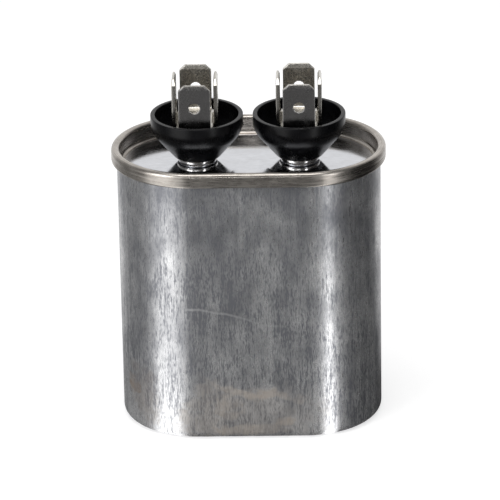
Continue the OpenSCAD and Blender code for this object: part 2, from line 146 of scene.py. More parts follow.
def placeCamera(setup):
    az, el, roll = (math.radians(setup[k]) for k in ("azimuth", "elevation", "roll"))
    forward = Vector((math.sin(az) * math.cos(el), math.cos(az) * math.cos(el), -math.sin(el)))
    right = Vector((math.cos(az), -math.sin(az), 0))
    up = right.cross(forward)
    data = bpy.data.cameras.new("view")
    data.lens, data.sensor_width, data.sensor_fit = setup["lens"], setup["sensor"], "HORIZONTAL"
    data.clip_start, data.clip_end = 0.01, 20
    eye = bpy.data.objects.new("view", data)
    bpy.context.scene.collection.objects.link(eye)
    tiltedRight = right * math.cos(roll) - up * math.sin(roll)
    tiltedUp = right * math.sin(roll) + up * math.cos(roll)
    place = Vector(setup["target"]) - forward * setup["distance"]
    turn = Matrix((tiltedRight, tiltedUp, -forward)).transposed()
    eye.matrix_world = Matrix.Translation(place) @ turn.to_4x4()
    bpy.context.scene.camera = eye


placeCamera(camera)
print("camera placed")


# Materials
def addNode(tree, kind, inputs=None, **settings):
    made = tree.nodes.new("ShaderNode" + kind)
    for name, value in settings.items():
        setattr(made, name, value)
    for name, value in (inputs or {}).items():
        if isinstance(value, bpy.types.NodeSocket):
            tree.links.new(value, made.inputs[name])
        else:
            made.inputs[name].default_value = value
    return made


def newMaterial(name):
    material = bpy.data.materials.new(name)
    material.use_nodes = True
    tree = material.node_tree
    tree.nodes.clear()
    shader = addNode(tree, "BsdfPrincipled")
    output = addNode(tree, "OutputMaterial")
    tree.links.new(shader.outputs[0], output.inputs["Surface"])
    return material, tree, shader


def stretched(tree, scale, source="Object", shift=(0, 0, 0)):
    # Coordinates stretched by scale; a small number draws the pattern out along that axis
    coords = addNode(tree, "TexCoord").outputs[source]
    return addNode(tree, "Mapping", {"Vector": coords, "Scale": scale, "Location": shift}).outputs[0]


def noise(tree, vector, scale, detail=4.0, roughness=0.55, distortion=0.0):
    return addNode(tree, "TexNoise", {"Vector": vector, "Scale": scale, "Detail": detail,
                                      "Roughness": roughness, "Distortion": distortion}).outputs["Fac"]


def ramp(tree, value, low, high, fromLow=0.0, toHigh=1.0):
    return addNode(tree, "MapRange", {"Value": value, "From Min": low, "From Max": high,
                                      "To Min": fromLow, "To Max": toHigh}, clamp=True).outputs["Result"]


def blend(tree, factor, a, b, mode="MIX"):
    mixer = addNode(tree, "Mix", data_type="RGBA", blend_type=mode)
    sockets = [s for s in mixer.inputs if s.enabled]
    for socket, value in zip(sockets, (factor, a, b)):
        if isinstance(value, bpy.types.NodeSocket):
            tree.links.new(value, socket)
        else:
            socket.default_value = value if isinstance(value, float) else (*value, 1)
    return [s for s in mixer.outputs if s.enabled][0]


def calc(tree, operation, *values):
    made = addNode(tree, "Math", operation=operation)
    for socket, value in zip(made.inputs, values):
        if isinstance(value, bpy.types.NodeSocket):
            tree.links.new(value, socket)
        else:
            socket.default_value = value
    return made.outputs[0]


def bump(tree, height, distance, strength):
    return addNode(tree, "Bump", {"Height": height, "Distance": distance, "Strength": strength}).outputs[0]


def connect(tree, shader, **links):
    for name, value in links.items():
        socket = shader.inputs[name.replace("_", " ")]
        if isinstance(value, bpy.types.NodeSocket):
            tree.links.new(value, socket)
        else:
            socket.default_value = value if not isinstance(value, tuple) or len(value) != 3 else (*value, 1)


canLook = {"light": (0.76, 0.76, 0.765), "dark": (0.24, 0.245, 0.265), "fleck": (0.10, 0.105, 0.125),
           "residue": (0.42, 0.37, 0.32), "brown": (0.21, 0.155, 0.11), "metallic": 0.78,
           "roughLow": 0.22, "roughHigh": 0.40}
# Marks on the can in millimetres. The residue band runs through (x, height, half width, strength).
# Spots: x, height, half width, half height, strength. A scratch runs through (x, height).
canMarks = {"band": ((-11.4, 14.6, 0.7, 0.0), (-9.0, 13.2, 0.8, 0.4), (-6.4, 11.2, 0.8, 0.9),
                     (-3.0, 10.6, 0.7, 0.9), (0.3, 9.6, 1.1, 1.0), (2.4, 9.5, 1.0, 1.0), (4.8, 10.2, 0.9, 0.8),
                     (7.0, 9.4, 0.7, 0.7), (8.0, 8.7, 0.3, 0.5), (9.8, 8.4, 1.3, 0.8), (11.8, 9.2, 0.5, 0.0)),
            "spots": ((6.6, 3.9, 2.3, 1.3, 1.0), (-4.8, 7.0, 3.4, 3.0, 0.9), (-3.2, 2.0, 6.0, 1.4, 0.95),
                      (-9.5, 4.5, 5.0, 5.0, 0.6), (3.0, 2.2, 6.5, 1.4, 0.75), (-8.0, 10.5, 3.2, 2.6, 0.65),
                      (1.0, 5.0, 14.0, 6.5, 0.35)),
            "brownSpots": ((-23.6, 9.2, 1.3, 2.2, 0.8), (-23.4, 13.6, 1.2, 1.4, 0.35),
                           (-21.4, 8.0, 2.6, 6.5, 0.4)),
            "scratch": ((-13.8, 28.6), (-9.4, 28.4), (-5.2, 27.6), (0.0, 26.0), (2.0, 25.3), (9.0, 24.2))}


def track(tree, value, points):
    # Straight lines through (value, result) pairs, level before the first and after the last
    total = points[0][1]
    for (x0, y0), (x1, y1) in zip(points, points[1:]):
        total = calc(tree, "ADD", total, ramp(tree, value, x0, x1, 0.0, y1 - y0))
    return total


def makeCanAluminium(look, marks):
    material, tree, shader = newMaterial("canAluminium")
    fine = noise(tree, stretched(tree, (1, 1, 0.2)), 5000, 2, 0.6)
    streak = noise(tree, stretched(tree, (1, 1, 0.10)), 2100, 3, 0.6)
    drawn = noise(tree, stretched(tree, (1, 1, 0.03)), 620, 4, 0.6)
    cloud = noise(tree, stretched(tree, (1, 1, 0.5)), 170, 4, 0.6, 0.6)
    broad = noise(tree, stretched(tree, (1, 1, 0.7), shift=(0.11, 0, 0)), 70, 3, 0.5, 0.4)
    metres = addNode(tree, "SeparateXYZ", {"Vector": addNode(tree, "TexCoord").outputs["Object"]}).outputs
    across, up = (calc(tree, "DIVIDE", metres[axis], mm) for axis in ("X", "Z"))
    front = ramp(tree, metres["Y"], -0.004, -0.008)
    tone = 0.0
    for layer, share in ((fine, 0.30), (streak, 0.28), (drawn, 0.12), (cloud, 0.17), (broad, 0.13)):
        tone = calc(tree, "ADD", tone, calc(tree, "MULTIPLY", layer, share))
    colour = blend(tree, ramp(tree, tone, 0.45, 0.55), look["dark"], look["light"])
    # Short dark flecks, crowded where the sheet is rough from handling and towards the top
    crowd = noise(tree, stretched(tree, (1, 1, 0.8), shift=(0.3, 0, 0)), 120, 4, 0.6, 0.4)
    crowd = calc(tree, "ADD", crowd, ramp(tree, up, 26, 48, 0.0, 0.17))
    fleck = calc(tree, "ADD", calc(tree, "MULTIPLY", streak, 0.55), calc(tree, "MULTIPLY", fine, 0.45))
    fleck = calc(tree, "ADD", fleck, calc(tree, "MULTIPLY", crowd, 0.5))
    colour = blend(tree, ramp(tree, fleck, 0.76, 0.98, 0.0, 0.75), colour, look["fleck"])

    ragged = calc(tree, "SUBTRACT", noise(tree, stretched(tree, (1, 1, 1.3)), 330, 5, 0.65, 0.8), 0.5)
    patchy = calc(tree, "ADD", calc(tree, "MULTIPLY", streak, 0.5), calc(tree, "MULTIPLY", cloud, 0.5))
    worn = ramp(tree, patchy, 0.38, 0.56, 0.45, 1.0)

    def spot(x, z, wide, tall, strength):
        # Fades out over a ragged ellipse
        out = [calc(tree, "DIVIDE", calc(tree, "SUBTRACT", place, middle), half)
               for place, middle, half in ((across, x, wide), (up, z, tall))]
        far = calc(tree, "ADD", *(calc(tree, "MULTIPLY", way, way) for way in out))
        return ramp(tree, calc(tree, "ADD", far, calc(tree, "MULTIPLY", ragged, 4.0)), 1.4, 0.3, 0.0, strength)

    middle, half, strength = (track(tree, across, [(point[0], point[k]) for point in marks["band"]])
                              for k in (1, 2, 3))
    away = calc(tree, "ABSOLUTE", calc(tree, "SUBTRACT", up, middle))
    away = calc(tree, "ADD", calc(tree, "DIVIDE", away, half), calc(tree, "MULTIPLY", ragged, 4.5))
    residue = calc(tree, "MULTIPLY", ramp(tree, away, 1.5, 0.5), strength)
    for values in marks["spots"]:
        residue = calc(tree, "MAXIMUM", residue, spot(*values))
    residue = calc(tree, "MULTIPLY", calc(tree, "MULTIPLY", residue, worn), calc(tree, "MULTIPLY", front, 0.85))
    colour = blend(tree, residue, colour, look["residue"])
    brown = 0.0
    for values in marks["brownSpots"]:
        brown = calc(tree, "MAXIMUM", brown, spot(*values))
    brown = calc(tree, "MULTIPLY", brown, worn)
    colour = blend(tree, brown, colour, look["brown"])

    line = calc(tree, "SUBTRACT", up, track(tree, across, marks["scratch"]))
    line = calc(tree, "ADD", line, calc(tree, "MULTIPLY", calc(tree, "SUBTRACT", cloud, 0.5), 1.2))
    line = ramp(tree, calc(tree, "ABSOLUTE", line), 0.36, 0.08)
    start, end = marks["scratch"][0][0], marks["scratch"][-1][0]
    fade = track(tree, across, ((start, 0.0), (start + 2, 1.0), (end - 5, 0.6), (end, 0.0)))
    line = calc(tree, "MULTIPLY", line, fade)
    line = calc(tree, "MULTIPLY", calc(tree, "MULTIPLY", line, front), 0.5)
    colour = blend(tree, line, colour, look["light"])

    dull = calc(tree, "MAXIMUM", residue, brown)
    rough = ramp(tree, tone, 0.42, 0.6, look["roughHigh"], look["roughLow"])
    rough = calc(tree, "ADD", rough, calc(tree, "MULTIPLY", dull, 0.25))
    metallic = ramp(tree, dull, 0.0, 1.0, look["metallic"], 0.3)
    height = calc(tree, "ADD", calc(tree, "MULTIPLY", fine, 0.5), calc(tree, "MULTIPLY", streak, 1.2))
    connect(tree, shader, Base_Color=colour, Metallic=metallic, Roughness=rough,
            Normal=bump(tree, height, 0.00003, 0.3))
    return material


rimLook = {"light": (0.53, 0.495, 0.455), "dark": (0.30, 0.275, 0.25), "roughLow": 0.2, "roughHigh": 0.36}


def makeRimTinplate(look):
    material, tree, shader = newMaterial("rimTinplate")
    along = noise(tree, stretched(tree, (14, 260, 1), "UV"), 10, 4, 0.6)
    worn = noise(tree, stretched(tree, (1, 1, 1)), 420, 5, 0.6, 0.5)
    tone = ramp(tree, calc(tree, "ADD", calc(tree, "MULTIPLY", along, 0.5), calc(tree, "MULTIPLY", worn, 0.5)),
                0.36, 0.64)
    colour = blend(tree, tone, look["dark"], look["light"])
    rough = ramp(tree, along, 0.3, 0.7, look["roughLow"], look["roughHigh"])
    normal = bump(tree, along, 0.00002, 0.25)
    connect(tree, shader, Base_Color=colour, Metallic=1.0, Roughness=rough, Normal=normal)
    return material


deckLook = {"light": (0.67, 0.68, 0.71), "dark": (0.56, 0.565, 0.59), "roughLow": 0.06, "roughHigh": 0.17}


def makeDeckTinplate(look):
    material, tree, shader = newMaterial("deckTinplate")
    grain = noise(tree, stretched(tree, (0.25, 1, 1)), 3200, 4, 0.6)
    cloud = noise(tree, stretched(tree, (1, 1, 1)), 260, 4, 0.6, 0.6)
    colour = blend(tree, ramp(tree, calc(tree, "ADD", calc(tree, "MULTIPLY", grain, 0.4),
                                         calc(tree, "MULTIPLY", cloud, 0.6)), 0.36, 0.64),
                   look["dark"], look["light"])
    rough = ramp(tree, cloud, 0.35, 0.68, look["roughLow"], look["roughHigh"])
    normal = bump(tree, grain, 0.000008, 0.2)
    connect(tree, shader, Base_Color=colour, Metallic=1.0, Roughness=rough, Normal=normal)
    return material


cupLook = {"base": (0.0022, 0.0022, 0.0028), "worn": (0.0055, 0.0055, 0.007),
           "roughLow": 0.22, "roughHigh": 0.34}


def makeCupPlastic(look):
    material, tree, shader = newMaterial("cupPlastic")
    fine = noise(tree, stretched(tree, (1, 1, 0.3)), 1500, 4)
    wide = noise(tree, stretched(tree, (1, 1, 1)), 240, 4, 0.6, 0.5)
    colour = blend(tree, ramp(tree, wide, 0.45, 0.7), look["base"], look["worn"])
    rough = ramp(tree, calc(tree, "ADD", calc(tree, "MULTIPLY", fine, 0.4), calc(tree, "MULTIPLY", wide, 0.6)),
                 0.35, 0.65, look["roughLow"], look["roughHigh"])
    normal = bump(tree, fine, 0.000012, 0.25)
    connect(tree, shader, Base_Color=colour, Roughness=rough, Normal=normal, Specular_IOR_Level=0.2)
    return material


# The outward faces of the front blades get a painted shade, darker and bluer than the rest of the tin
tabLook = {"light": (0.64, 0.615, 0.57), "dark": (0.40, 0.385, 0.355), "roughLow": 0.14, "roughHigh": 0.3,
           "paintedFrontShade": (0.55, 0.56, 0.60), "paintedFrontShadeY": (-6.1, -6.35)}


def makeTin(name, look):
    # Tinned sheet, speckled. Where a painted front shade is given, painted shade makes the faces out past its depth
    # darker and bluer: these are the outward faces of the front blades.
    material, tree, shader = newMaterial(name)
    speck = noise(tree, stretched(tree, (1, 1, 1)), 2600, 5, 0.7)
    cloud = noise(tree, stretched(tree, (1, 1, 0.6)), 420, 4, 0.6, 0.5)
    mixed = calc(tree, "ADD", calc(tree, "MULTIPLY", speck, 0.55), calc(tree, "MULTIPLY", cloud, 0.45))
    tone = ramp(tree, mixed, 0.38, 0.62)
    colour = blend(tree, tone, look["dark"], look["light"])
    # Painted shade: the faces out past the given depth (the front blades' outward faces) are multiplied darker and
    # bluer
    if "paintedFrontShade" in look:
        place = addNode(tree, "TexCoord").outputs["Object"]
        depth = addNode(tree, "SeparateXYZ", {"Vector": place}).outputs["Y"]
        outside = ramp(tree, depth, look["paintedFrontShadeY"][0] * mm, look["paintedFrontShadeY"][1] * mm)
        colour = blend(tree, outside, colour, blend(tree, 1.0, colour, look["paintedFrontShade"], "MULTIPLY"))
    rough = ramp(tree, tone, 0, 1, look["roughHigh"], look["roughLow"])
    normal = bump(tree, speck, 0.000015, 0.3)
    connect(tree, shader, Base_Color=colour, Metallic=1.0, Roughness=rough, Normal=normal)
    return material


ringLook = {"light": (0.86, 0.85, 0.83), "dark": (0.70, 0.68, 0.65), "roughLow": 0.08, "roughHigh": 0.16}


# Hidden pieces: base colour, darker shade of it, metallic, roughness, noise scale and stretch
innerLooks = {
    "rivetMetal": ((0.5, 0.49, 0.46), (0.3, 0.29, 0.27), 1.0, 0.3, 1800, (1, 1, 1)),
    "gasketRubber": ((0.03, 0.028, 0.025), (0.012, 0.011, 0.01), 0.0, 0.75, 2200, (1, 1, 1)),
    "washerPlastic": ((0.7, 0.65, 0.5), (0.55, 0.5, 0.37), 0.0, 0.55, 900, (1, 1, 1)),
    "lugBrass": ((0.62, 0.57, 0.42), (0.42, 0.37, 0.25), 1.0, 0.32, 1600, (1, 1, 1)),
    "leadCopper": ((0.6, 0.33, 0.18), (0.38, 0.19, 0.1), 1.0, 0.3, 2200, (1, 1, 0.3)),
    "tubePlastic": ((0.8, 0.77, 0.68), (0.68, 0.64, 0.54), 0.0, 0.45, 700, (1, 1, 0.2)),
    "platePhenolic": ((0.55, 0.4, 0.2), (0.38, 0.25, 0.11), 0.0, 0.6, 1100, (1, 0.3, 1)),
    "trayPlastic": ((0.75, 0.72, 0.64), (0.62, 0.58, 0.49), 0.0, 0.5, 600, (1, 1, 1)),
    "linerPlastic": ((0.65, 0.58, 0.4), (0.5, 0.43, 0.27), 0.0, 0.65, 1300, (1, 1, 0.25)),
    "filmPlastic": ((0.5, 0.49, 0.45), (0.34, 0.33, 0.3), 0.6, 0.3, 2400, (1, 1, 0.02)),
    "sprayZinc": ((0.4, 0.41, 0.42), (0.24, 0.245, 0.25), 1.0, 0.6, 2600, (1, 1, 1)),
}


def makeInner(name):
    light, dark, metallic, rough, scale, stretch = innerLooks[name]
    material, tree, shader = newMaterial(name)
    grain = noise(tree, stretched(tree, stretch), scale, 5, 0.6)
    colour = blend(tree, ramp(tree, grain, 0.35, 0.65), dark, light)
    roughness = ramp(tree, grain, 0.3, 0.7, rough * 1.2, rough * 0.8)
    connect(tree, shader, Base_Color=colour, Metallic=metallic, Roughness=roughness,
            Normal=bump(tree, grain, 0.00003, 0.3))
    return material


canAluminium = makeCanAluminium(canLook, canMarks)
rimTinplate = makeRimTinplate(rimLook)
deckTinplate = makeDeckTinplate(deckLook)
cupPlastic = makeCupPlastic(cupLook)
tabTin = makeTin("tabTin", tabLook)
ringTin = makeTin("ringTin", ringLook)
inner = {name: makeInner(name) for name in innerLooks}
print("materials made")

nodeMaterials = {
    "left_gasket": inner["gasketRubber"], "right_gasket": inner["gasketRubber"],
    "left_inner_washer": inner["washerPlastic"], "right_inner_washer": inner["washerPlastic"],
    "left_lug": inner["lugBrass"], "right_lug": inner["lugBrass"],
    "left_lead": inner["leadCopper"], "right_lead": inner["leadCopper"],
    "lead_sleeve": inner["tubePlastic"], "break_plate": inner["platePhenolic"],
    "top_insulator": inner["trayPlastic"], "bottom_insulator": inner["trayPlastic"],
    "insulating_sleeve": inner["linerPlastic"], "winding": inner["filmPlastic"],
    "top_end_spray": inner["sprayZinc"], "bottom_end_spray": inner["sprayZinc"],
}
for nodeName, material in nodeMaterials.items():
    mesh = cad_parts[nodeName].data
    mesh.materials.clear()
    mesh.materials.append(material)


def dress(piece, slot, node, *materials):
    for material in materials:
        piece.data.materials.append(material)
    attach(piece, "root")
    if node:
        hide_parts(node)


# Can and cover
# Layers of the rolled seam in millimetres, from the outside in
seam = {"height": 3.0, "sheet": 0.28, "wall": 0.35, "play": 0.05, "hookPlay": 0.1,
        "deckDrop": 3.6, "fillet": 0.8, "waist": 0.05, "waistAt": 1.45, "waistSpread": 0.28}
rim = rimR / mm
panelIn = rim - seam["sheet"]
hookOut = panelIn - seam["play"]
hookIn = hookOut - seam["wall"]
coverHookOut = hookIn - seam["play"]
coverHookIn = coverHookOut - seam["sheet"]
canR = coverHookIn - seam["play"]
canIn = canR - seam["wall"]
chuckOut = canIn - seam["play"]
chuckIn = chuckOut - seam["sheet"]
topZ = seamTop / mm
rollMid, rollR = (rim + chuckIn) / 2, (rim - chuckIn) / 2
rollZ = topZ - rollR
curlMid, curlR = (rim + coverHookIn) / 2, (rim - coverHookIn) / 2
curlZ = topZ - seam["height"] + curlR
deckZ = topZ - seam["deckDrop"]

# Samples round the stadium: even steps on the sides, finer on the half circles
aroundSide, aroundEnd = 36, 88
aroundU = np.concatenate([p + np.arange(n) / n for p, n in ((0, aroundSide), (1, aroundEnd), (2, aroundSide),
                                                            (3, aroundEnd))])
canShape = {"corner": 1.7, "floor": 0.6}


def makeCan(shape):
    # Wall section: floor, corner, outer wall, hook over the roll, inner wall and inside floor
    corner, floor = shape["corner"], shape["floor"]
    inCorner, hookZ = corner - seam["wall"], curlZ + seam["hookPlay"]
    profile = np.concatenate([
        [[0, 0], [(canR - corner) / 2, 0]],
        arcPoints(canR - corner, corner, corner, -90, 0, 14),
        np.stack([np.full(23, canR), np.linspace(corner, rollZ, 25)[1:-1]], -1),
        arcPoints(rollMid, rollZ, hookIn - rollMid, 180, 0, 14),
        [[hookIn, hookZ], [hookOut, hookZ]],
        arcPoints(rollMid, rollZ, hookOut - rollMid, 0, 180, 16),
        arcPoints(canIn - inCorner, floor + inCorner, inCorner, 0, -90, 10),
        [[0, floor]],
    ])
    points = stadiumSweep(profile, aroundU) * mm
    quads = gridQuads(len(profile), len(aroundU))
    # Surface coordinates in metres: round the can, and along the wall section
    length = pathLength(profile) * mm
    uv = np.stack(np.broadcast_arrays(aroundU[None] * 0.035, length[:, None]), -1)
    piece = makePiece("canShell", points.reshape(-1, 3), quads, uv.reshape(-1, 2), 40)
    dress(piece, "can_aluminium", "can", canAluminium)


# The deck's pressings in millimetres, and how many steps its borders and rings have
deckShape = {"bossTop": 3.7, "bossHeight": 0.6, "bossFlank": 0.1, "hole": 2.6, "embossR": 4.55,
             "embossHeight": 0.35, "embossFlank": 0.25, "embossX": 0.8, "embossY": -8.5, "crown": 0.2,
             "edgeSteps": 34, "rings": 13}


def exitDistance(origin, directions, radius):
    # How far a ray from origin runs inside the stadium: the farthest way out of its two end
    # discs and of its middle rectangle
    found = []
    for endX in (-halfStraight, halfStraight):
        toOrigin = origin - np.array([endX, 0])
        b, c = directions @ toOrigin, toOrigin @ toOrigin - radius ** 2
        inside = b * b - c
        found.append(np.where(inside > 0, -b + np.sqrt(np.maximum(inside, 0)), -1))
    half = np.array([halfStraight, radius])
    with np.errstate(divide="ignore", invalid="ignore"):
        far = np.where(directions != 0, (np.sign(directions) * half - origin) / directions, np.inf)
    found.append(far.min(-1))
    return np.max(found, axis=0)


def makeCover(shape):
    edgeR = chuckIn - seam["fillet"]
    bossX = cupX / mm
    seeds = np.array([[-bossX, 0], [bossX, 0], [shape["embossX"], shape["embossY"]]])
    # The deck is shared out between the two bosses and the emboss: each takes what is nearest.
    # The three borders start where all three seeds are equally far.
    a = 2 * (seeds[1:] - seeds[0])
    b = (seeds[1:] ** 2).sum(1) - (seeds[0] ** 2).sum()
    meet = np.linalg.solve(a, b)
    borders = {}
    for i, j, k in ((0, 1, 2), (0, 2, 1), (1, 2, 0)):
        along = seeds[j] - seeds[i]
        across = np.array([-along[1], along[0]]) / np.linalg.norm(along)
        if across @ (seeds[k] - meet) > 0:
            across = -across
        reach = exitDistance(meet, across[None], edgeR)[0]
        borders[(i, j)] = meet + np.linspace(0, reach, shape["edgeSteps"])[:, None] * across
    corners = np.array([line[-1] for line in borders.values()])
    u = np.unique(np.round(np.concatenate([aroundU, stadiumParameter(corners)]), 9))
    middle, outward = stadiumFrame(u)
    outline = middle + edgeR * outward
    nearest = ((outline[:, None] - seeds[None]) ** 2).sum(-1).argmin(1)
    parts, faces, uvs, slots, count = [], [], [], [], 0

    def add(points, quads, uv, slot):
        nonlocal count
        parts.append(points.reshape(-1, 3))
        faces.append(quads + count)
        uvs.append(uv.reshape(-1, 2))
        slots.append(np.full(len(quads), slot))
        count += parts[-1].shape[0]

    for index, seed in enumerate(seeds):
        lines = [line for pair, line in borders.items() if index in pair]
        edge = np.concatenate([outline[nearest == index], *lines])
        angle = np.arctan2(*(edge - seed).T[::-1])
        order = np.argsort(angle)
        edge, angle = edge[order], angle[order]
        keep = np.append(np.linalg.norm(np.diff(edge, axis=0), axis=1) > 1e-6, True)
        edge = edge[keep]
        toEdge = edge - seed
        distance = np.linalg.norm(toEdge, axis=1)
        direction = toEdge / distance[:, None]
        boss = index < 2
        flank = shape["bossFlank"] if boss else shape["embossFlank"]
        foot = shape["bossTop"] + flank if boss else shape["embossR"]
        top = foot - flank
        high = shape["bossHeight"] if boss else shape["embossHeight"]
        start = shape["hole"] if boss else 0.0
        near = np.concatenate([np.linspace(start, top - 0.12, 7), np.linspace(top - 0.04, foot + 0.04, 17)])
        share = np.linspace(0, 1, shape["rings"] + 1)[1:]
        radius = np.concatenate([np.broadcast_to(near[:, None], (len(near), len(edge))),
                                 near[-1] + share[:, None] * (distance - near[-1])[None]])
        xy = seed + radius[..., None] * direction[None]
        xy[-1] = edge
        # Height of the flank: a smooth step from the foot up to the top. Its inside lies further in
        # by the inset, so that the sheet stays about as thick on the flank.
        inset = seam["sheet"] * math.tan(math.atan2(high, flank) / 2)
        spine = np.stack([np.clip(xy[..., 0], -halfStraight, halfStraight), 0 * xy[..., 1]], -1)
        out = np.linalg.norm(xy - spine, axis=-1) / edgeR
        # The deck is crowned a little, and a boss still ends at its own height
        crown = shape["crown"] * (1 - out ** 2) ** 2 * (smooth(top, foot, radius) if boss else 1)
        rise = [high * smooth(0, flank, foot - back - radius) + crown for back in (0, inset)]
        topSide = np.concatenate([xy, (deckZ + rise[0])[..., None]], -1)
        low = np.concatenate([xy, (deckZ - seam["sheet"] + rise[1])[..., None]], -1)
        quads = gridQuads(len(radius), len(edge))
        add(topSide * mm, quads, xy * mm, 1)
        pick = np.r_[0, 6:len(near):3, len(near) - 1, len(near) + 3, len(radius) - 1]
        pick = np.unique(pick)
        add(low[pick] * mm, gridQuads(len(pick), len(edge))[:, ::-1], xy[pick] * mm, 1)
        if boss:
            wall = np.stack([topSide[0], low[0]])
            add(wall * mm, gridQuads(2, len(edge)), np.stack([xy[0], xy[0]]) * mm, 1)

    # Seam section: chuck wall, roll, panel with its slight waist, curl, and the hook inside
    panel = np.linspace(rollZ, curlZ, 22)[1:-1]
    waist = seam["waist"] * np.exp(-(((topZ - panel) - seam["waistAt"]) / seam["waistSpread"]) ** 2)
    hookTop = rollZ - seam["hookPlay"]
    profile = np.concatenate([
        arcPoints(chuckIn - seam["fillet"], deckZ + seam["fillet"], seam["fillet"], -90, 0, 9),
        [[chuckIn, (deckZ + rollZ) / 2]],
        arcPoints(rollMid, rollZ, rollR, 180, 0, 30),
        np.stack([rim - waist, panel], -1),
        arcPoints(curlMid, curlZ, curlR, 0, -180, 16),
        [[coverHookIn, hookTop], [coverHookOut, hookTop]],
        arcPoints(curlMid, curlZ, curlR - seam["sheet"], 180, 360, 8),
        arcPoints(rollMid, rollZ, rollR - seam["sheet"], 0, 180, 14),
        arcPoints(chuckIn - seam["fillet"], deckZ + seam["fillet"], seam["fillet"] + seam["sheet"], 0, -90, 6),
    ])
    points = stadiumSweep(profile, u)
    length = pathLength(profile) * mm
    uv = np.stack(np.broadcast_arrays(u[None] * 0.035, length[:, None]), -1)
    quads = gridQuads(len(profile), len(u))
    add(points * mm, quads, uv, 0)
    # Material 0 is the rolled rim and 1 the bright deck
    piece = makePiece("coverPressing", *(np.concatenate(part) for part in (parts, faces, uvs)), 50,
                      np.concatenate(slots))
    dress(piece, "cover_tinplate", "cover", rimTinplate, deckTinplate)


# Cups
cupShape = {"height": 9.5, "foot": 4.0, "angle": 40, "round": 5.0, "wall": 0.9, "lipEdge": 0.15, "post": 4.2,
            "postDrop": 1.8, "spigot": 2.5, "bore": 1.55, "neck": 3.92, "neckHeight": 0.85, "neckEdge": 0.08,
            "around": 144}


def makeCup(name, node, shape):
    low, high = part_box(node)
    centreX = (low.x + high.x) / 2
    lipR = (high.x - low.x) / 2 / mm
    lip, bottom = high.z / mm, low.z / mm
    foot, wall, turn = lip - shape["height"], shape["wall"], shape["round"]
    slope = math.tan(math.radians(shape["angle"]))
    blendZ = foot + (lipR - shape["foot"]) / slope + turn * math.tan(math.radians(shape["angle"] / 2))
    post, postTop, edge = shape["post"], lip - shape["postDrop"], shape["lipEdge"]
    gutter = foot + (post - shape["foot"] + wall / math.cos(math.radians(shape["angle"]))) / slope
    # The cone starts above a short neck, which the foot ring goes round
    neck, neckTop, soft = shape["neck"], foot + shape["neckHeight"], shape["neckEdge"]
    coneStart = shape["foot"] + shape["neckHeight"] * slope
    # Section from the bore, under the spigot, up the cone and the wall, over the lip and down to the post
    profile = np.concatenate([
        [[shape["bore"], bottom], [shape["spigot"], bottom], [shape["spigot"], foot], [neck, foot], [neck, neckTop],
         [coneStart - soft, neckTop], [coneStart + soft * slope, neckTop + soft]],
        arcPoints(lipR - turn, blendZ, turn, -shape["angle"], 0, 22),
        [[lipR, (blendZ + lip - edge) / 2]],
        arcPoints(lipR - edge, lip - edge, edge, 0, 90, 6),
        arcPoints(lipR - wall + edge, lip - edge, edge, 90, 180, 6),
        arcPoints(lipR - turn, blendZ, turn - wall, 0, -shape["angle"], 14),
        [[post, gutter], [post, postTop - 0.15], [post - 0.15, postTop], [shape["bore"], postTop],
         [shape["bore"], bottom]],
    ])
    points = revolve(profile, centreX / mm, shape["around"]) * mm
    length = pathLength(profile) * mm
    turnU = np.arange(shape["around"]) / shape["around"] * 0.058
    uv = np.stack(np.broadcast_arrays(turnU[None], length[:, None]), -1)
    quads = gridQuads(len(profile), shape["around"])
    piece = makePiece(name, points.reshape(-1, 3), quads, uv.reshape(-1, 2), 40)
    dress(piece, "cup_plastic", node, cupPlastic)


# Bright ring round the neck of each cup
ringShape = {"outside": 4.08, "bulge": 0.06, "edge": 0.04, "around": 144}


def makeFootRing(name, centreX, shape):
    # Section: a slightly barrelled outside, from the foot of the cup up to the start of its cone
    neck, foot = cupShape["neck"], lipZ - cupShape["height"]
    up = np.linspace(0, 1, 9)
    radius = shape["outside"] - shape["bulge"] * (2 * up - 1) ** 2
    outside = np.stack([radius, foot + cupShape["neckHeight"] * up], -1)
    low = [[neck, foot], [radius[0] - shape["edge"], foot - shape["edge"]]]
    profile = np.concatenate([low, outside, [[neck, outside[-1, 1]]], low[:1]])
    points = revolve(profile, centreX / mm, shape["around"]) * mm
    piece = makePiece(name, points.reshape(-1, 3), gridQuads(len(profile), shape["around"]), None, 40)
    dress(piece, "cover_tinplate", None, ringTin)


# Rivets
rivetShape = {"shank": 1.5, "tail": 2.3, "tailHeight": 0.8, "head": 2.5, "headHeight": 0.9, "around": 72}


def makeRivet(name, node, shape):
    low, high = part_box(node)
    bottom, top = low.z / mm, high.z / mm
    seat = top - shape["headHeight"]
    domeR = (shape["head"] ** 2 + shape["headHeight"] ** 2) / (2 * shape["headHeight"])
    rise = math.degrees(math.asin(shape["head"] / domeR))
    profile = np.concatenate([
        [[0, bottom], [shape["tail"] - 0.15, bottom], [shape["tail"], bottom + 0.15],
         [shape["tail"], bottom + shape["tailHeight"]], [shape["shank"], bottom + shape["tailHeight"]],
         [shape["shank"], seat]],
        arcPoints(0, top - domeR, domeR, 90 - rise, 90, 14),
    ])
    points = revolve(profile, (low.x + high.x) / 2 / mm, shape["around"]) * mm
    piece = makePiece(name, points.reshape(-1, 3), gridQuads(len(profile), shape["around"]), None, 30)
    dress(piece, "rivet_metal", node, inner["rivetMetal"])


# Terminals
tabShape = {"width": 6.35, "thickness": 0.8, "sideGap": 8.3, "frontGap": 12.0, "bend": 0.5, "chamfer": 1.15,
            "coinLength": 0.9, "tipThickness": 0.4, "edge": 0.12, "hole": 1.1, "holeDrop": 4.8, "holeEdge": 0.1,
            "plateHalf": (3.65, 5.35), "plateCorner": 0.9, "plateHole": 1.8, "across": 12, "round": 4}


